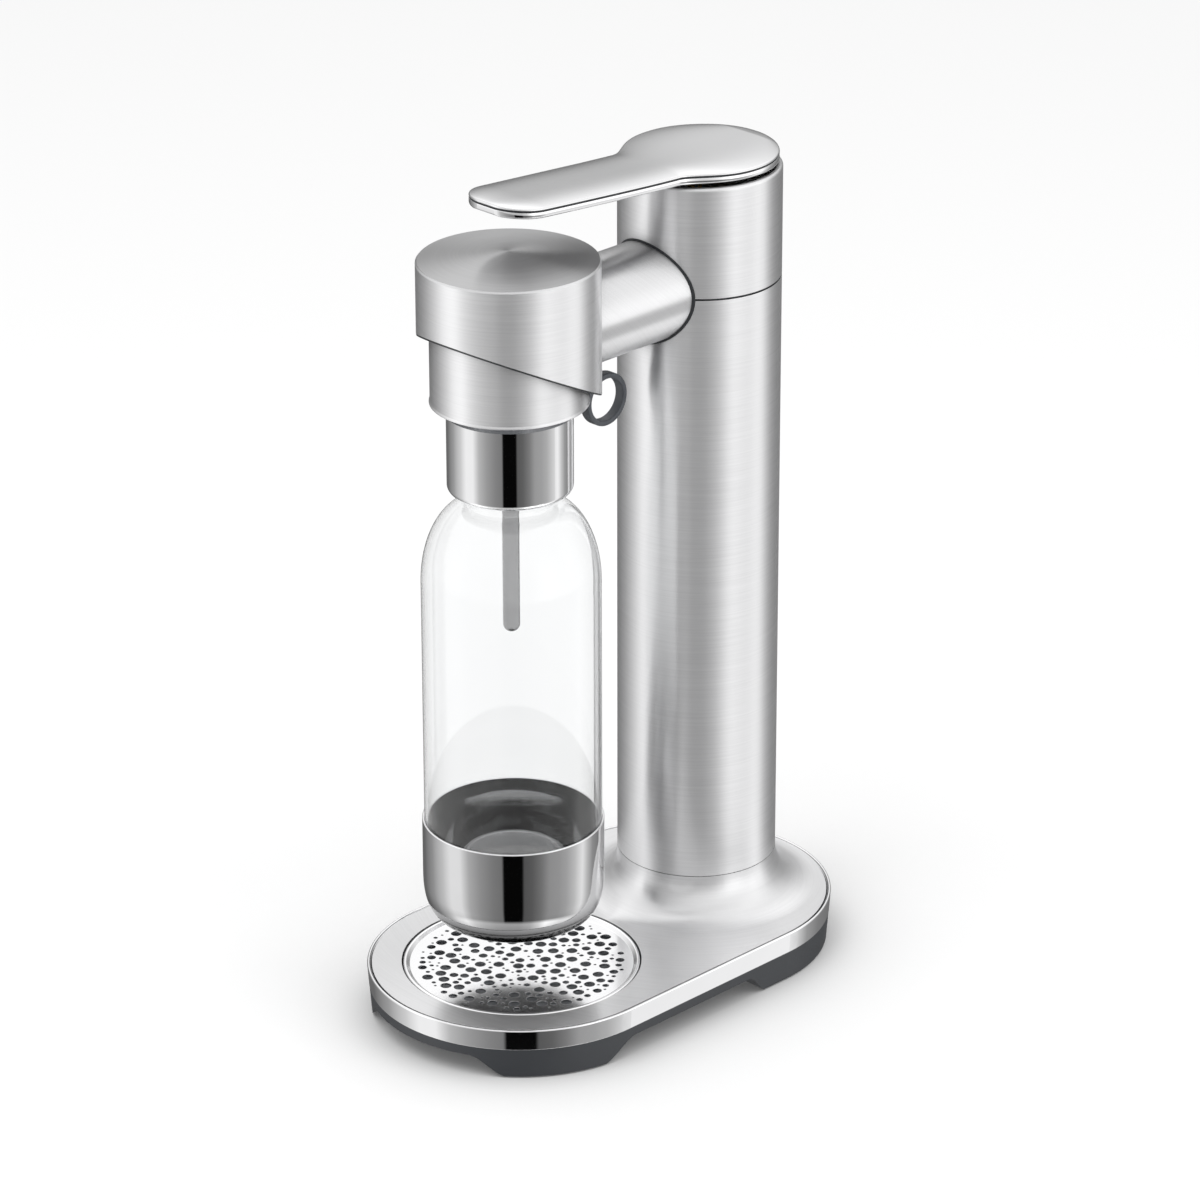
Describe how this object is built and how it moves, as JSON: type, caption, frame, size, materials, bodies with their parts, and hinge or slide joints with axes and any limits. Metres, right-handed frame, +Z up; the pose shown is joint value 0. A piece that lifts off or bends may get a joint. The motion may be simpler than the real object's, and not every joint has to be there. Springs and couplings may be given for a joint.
{
  "type": "sparkling water maker",
  "caption": "Free-standing manual carbonator: stadium base with drip tray, brushed column, lever on top, and a clear bottle hung under a cylindrical head in its own pressure cap.",
  "frame": {"origin": "on the table, under the centre of the stadium base", "axes": "+Z up through the column's top, -Y towards the front where the bottle hangs, +X to the right"},
  "size_m": [0.1488, 0.2588, 0.417],
  "materials": {
    "brushed_steel": "fine brushed stainless steel",
    "tray_steel": "bright satin stainless steel",
    "satin_steel": "bead blasted satin",
    "chrome": "mirror polished",
    "dark_plastic": "fine matte dark grey",
    "rubber": "matte",
    "plain_steel": "zinc plated",
    "cast_aluminium": "as cast",
    "brass": "machined",
    "cylinder_steel": "satin paint",
    "clear_plastic": "clear, polished"
  },
  "bodies": {
    "stand": {"base_pan": "dark_plastic", "rubber_feet": "rubber", "base_screws": "plain_steel", "base_rim": "chrome", "base_frame": "plain_steel", "base_top_plate": "brushed_steel", "column_frame": "cast_aluminium", "column_shell": "brushed_steel", "column_seam_ring": "rubber", "column_top": "brushed_steel", "cylinder_pad": "rubber", "valve_bracket": "plain_steel", "valve_body": "brass", "valve_seal": "rubber", "safety_valve": "brass", "rod_spring": "plain_steel", "rocker_pin": "plain_steel", "lever_pin": "plain_steel", "pin_clips": "plain_steel", "neck_tube": "brushed_steel", "neck_gasket": "rubber", "head_arm": "cast_aluminium", "head_core": "dark_plastic", "head_shell": "brushed_steel", "gas_pipe": "brass", "pipe_nut": "brass", "gas_nozzle": "brass", "nozzle_seal": "rubber"},
    "lever": {"lever_hub": "cast_aluminium", "lever_body": "chrome", "lever_gasket": "rubber", "lever_skin": "satin_steel"},
    "rocker": {"rocker": "plain_steel"},
    "push_rod": {"push_rod": "plain_steel"},
    "rear_cover": {"rear_cover": "brushed_steel"},
    "gas_cylinder": {"cylinder_body": "cylinder_steel", "cylinder_valve": "brass"},
    "drip_tray": {"drip_cup": "dark_plastic"},
    "tray_plate": {"drip_plate": "tray_steel"},
    "pressure_cap": {"cap_core": "dark_plastic", "cap_sleeve": "brushed_steel", "cap_bevel": "dark_plastic", "cap_collar": "chrome", "cap_gasket": "rubber", "gas_wand": "satin_steel", "release_pin": "plain_steel"},
    "release_ring": {"release_ring": "dark_plastic"},
    "release_stem": {"release_stem": "brass"},
    "bottle": {"bottle_shell": "clear_plastic", "bottle_cup": "chrome"}
  },
  "joints": [
    {"name": "lever_press", "type": "hinge", "parent": "stand", "child": "lever", "pos_m": [0, 0.0371, 0.394], "axis": [1, 0, 0], "range_deg": [0, 6], "stiffness_Nm_per_rad": 12, "springref_deg": -3.44},
    {"name": "rocker_tilt", "type": "hinge", "parent": "stand", "child": "rocker", "pos_m": [0, 0.0566, 0.394], "axis": [-1, 0, 0], "range_deg": [0, 6.5]},
    {"name": "rod_press", "type": "slide", "parent": "stand", "child": "push_rod", "axis": [0, 0, -1], "range_m": [0, 0.0011], "deforming": ["rod_spring"]},
    {"name": "cover_off", "type": "slide", "parent": "stand", "child": "rear_cover", "axis": [0, 1, 0], "range_m": [0, 0.06]},
    {"name": "cylinder_unscrew", "type": "hinge", "parent": "stand", "child": "gas_cylinder", "pos_m": [0, 0.0661, 0.2], "axis": [0, 0, 1], "range_deg": [-720, 0]},
    {"name": "tray_lift", "type": "slide", "parent": "stand", "child": "drip_tray", "axis": [0, 0, 1], "range_m": [0, 0.006]},
    {"name": "plate_lift", "type": "slide", "parent": "drip_tray", "child": "tray_plate", "axis": [0, 0, 1], "range_m": [0, 0.007]},
    {"name": "cap_drop", "type": "slide", "parent": "stand", "child": "pressure_cap", "axis": [0, 0, -1], "range_m": [0, 0.012]},
    {"name": "ring_pull", "type": "hinge", "parent": "pressure_cap", "child": "release_ring", "pos_m": [0, -0.0229, 0.307], "axis": [-1, 0, 0], "range_deg": [0, 20], "stiffness_Nm_per_rad": 0.05, "springref_deg": -5.73},
    {"name": "stem_lift", "type": "slide", "parent": "pressure_cap", "child": "release_stem", "axis": [0, 0, 1], "range_m": [0, 0.0017]},
    {"name": "bottle_unscrew", "type": "hinge", "parent": "pressure_cap", "child": "bottle", "pos_m": [0, -0.0597, 0.15], "axis": [0, 0, 1], "range_deg": [-360, 0]}
  ],
  "couplings": [
    {"joint": "rocker_tilt", "follows": "lever_press", "ratio": 1.0526},
    {"joint": "rod_press", "follows": "lever_press", "m_per_rad": 0.01},
    {"joint": "stem_lift", "follows": "ring_pull", "m_per_rad": 0.0046}
  ]
}
